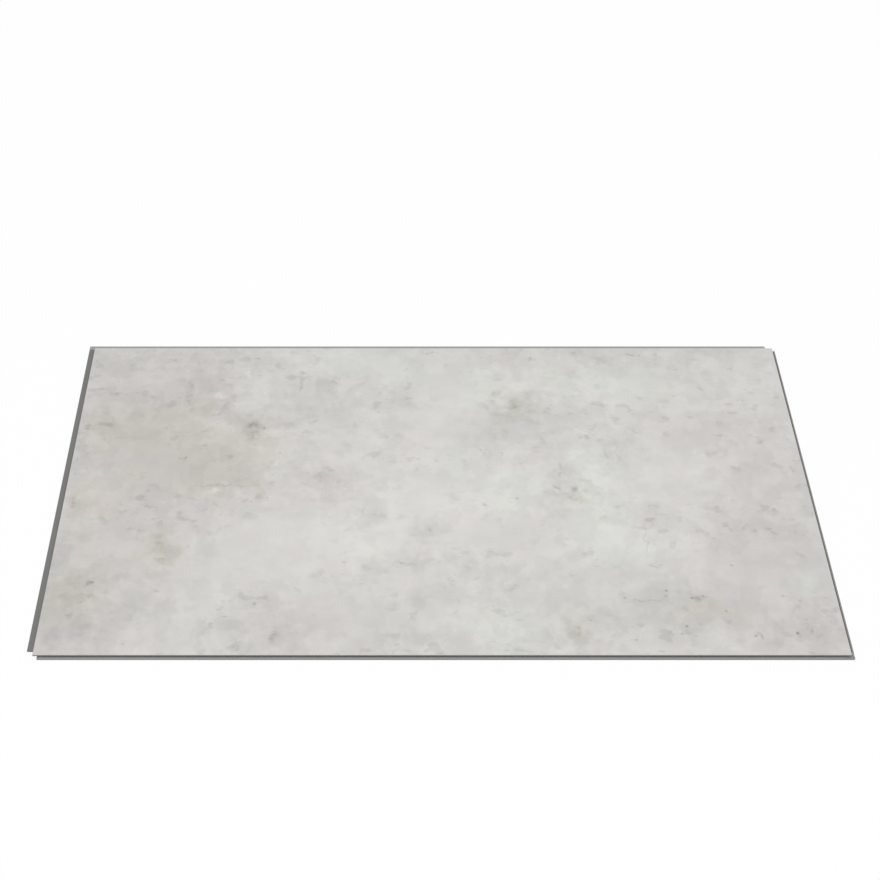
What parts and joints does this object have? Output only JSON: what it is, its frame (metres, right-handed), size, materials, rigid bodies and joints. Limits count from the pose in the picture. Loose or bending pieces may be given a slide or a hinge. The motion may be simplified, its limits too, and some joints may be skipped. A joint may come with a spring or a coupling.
{
  "type": "pvc wall tile",
  "caption": "Rectangular rigid PVC wall tile lying face up: concrete-look printed film on a dark grey core, with tongues on two edges and lipped click grooves on the other two.",
  "frame": {"origin": "on the flat back of the tile, under the middle of the printed face", "axes": "+X along the long side of the face, towards the short edge with the groove; +Y along the short side, towards the long edge with the tongue; +Z out of the printed face"},
  "size_m": [0.6584, 0.3811, 0.005],
  "materials": {
    "core": "milled rigid PVC, matt",
    "decor": "printed light concrete, satin"
  },
  "bodies": {
    "root": {"core_board": "core", "decor_film": "decor"}
  },
  "joints": []
}
